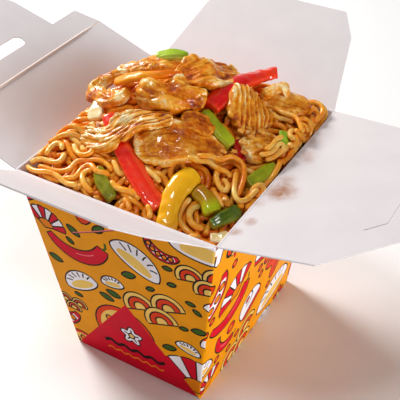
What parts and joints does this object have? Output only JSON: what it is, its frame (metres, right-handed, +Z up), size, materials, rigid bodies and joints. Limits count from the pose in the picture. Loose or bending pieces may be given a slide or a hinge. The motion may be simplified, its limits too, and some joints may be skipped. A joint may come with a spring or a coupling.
{
  "type": "noodle takeaway box",
  "caption": "Open tapered board takeaway box heaped with fried noodles, chicken, peppers and greens; creased flaps fold over the top and a slotted tab carries it.",
  "frame": {"origin": "the middle of the underside of the carton's base", "axes": "+Z up; the end panels with the folded webs face -Y and +Y; the flap with the carrying handle hangs from the -X wall"},
  "size_m": [0.2219, 0.1848, 0.1311],
  "materials": {
    "carton_board": "printed coated board, satin",
    "flap_board": "plain white inside of the board, matt",
    "noodles": "fried egg noodles, oiled",
    "chicken": "seared and glazed meat",
    "red_pepper": "cooked pepper, wet skin",
    "yellow_pepper": "cooked pepper, wet skin",
    "orange_pepper": "cooked pepper, glazed",
    "green_pepper": "cooked pepper, wet skin",
    "green_bean": "cooked green bean, wet skin",
    "onion": "cooked onion, translucent"
  },
  "bodies": {
    "box": {"carton": "carton_board", "noodles": "noodles", "onion_front": "onion", "onion_left": "onion", "pepper_olive": "green_pepper", "pepper_lime": "green_pepper", "bean_front": "green_bean", "bean_right": "green_bean", "bean_small": "green_bean", "bean_middle": "green_bean", "pepper_red_small": "red_pepper", "pepper_yellow": "yellow_pepper", "pepper_red_long": "red_pepper", "chicken_crumbly": "chicken", "chicken_flat": "chicken", "chicken_centre": "chicken", "chicken_small": "chicken", "chicken_right": "chicken", "pepper_red_glossy": "red_pepper", "chicken_crisp": "chicken", "chicken_fibrous": "chicken", "chicken_back": "chicken", "chicken_glossy": "chicken", "chicken_top": "chicken", "chicken_curled": "chicken", "pepper_orange": "orange_pepper", "bean_top": "green_bean"},
    "left_flap": {"flap_left": "flap_board"},
    "handle": {"flap_handle": "flap_board"},
    "right_flap": {"flap_right": "flap_board"},
    "front_flap": {"flap_front": "flap_board"},
    "back_flap": {"flap_back": "flap_board"}
  },
  "joints": [
    {"name": "left_flap_crease", "type": "hinge", "parent": "box", "child": "left_flap", "pos_m": [-0.0459, 0, 0.1], "axis": [0, 1, 0], "range_deg": [-60, 68]},
    {"name": "handle_crease", "type": "hinge", "parent": "left_flap", "child": "handle", "pos_m": [-0.07832, 0, 0.1118], "axis": [0, -1, 0], "range_deg": [-85, 90]},
    {"name": "right_flap_crease", "type": "hinge", "parent": "box", "child": "right_flap", "pos_m": [0.0459, 0, 0.1], "axis": [0, -1, 0], "range_deg": [-82, 81]},
    {"name": "front_flap_crease", "type": "hinge", "parent": "box", "child": "front_flap", "pos_m": [0, -0.0519, 0.1], "axis": [-1, 0, 0], "range_deg": [-114, 49]},
    {"name": "back_flap_crease", "type": "hinge", "parent": "box", "child": "back_flap", "pos_m": [0, 0.0519, 0.1], "axis": [1, 0, 0], "range_deg": [-105, 58]}
  ]
}
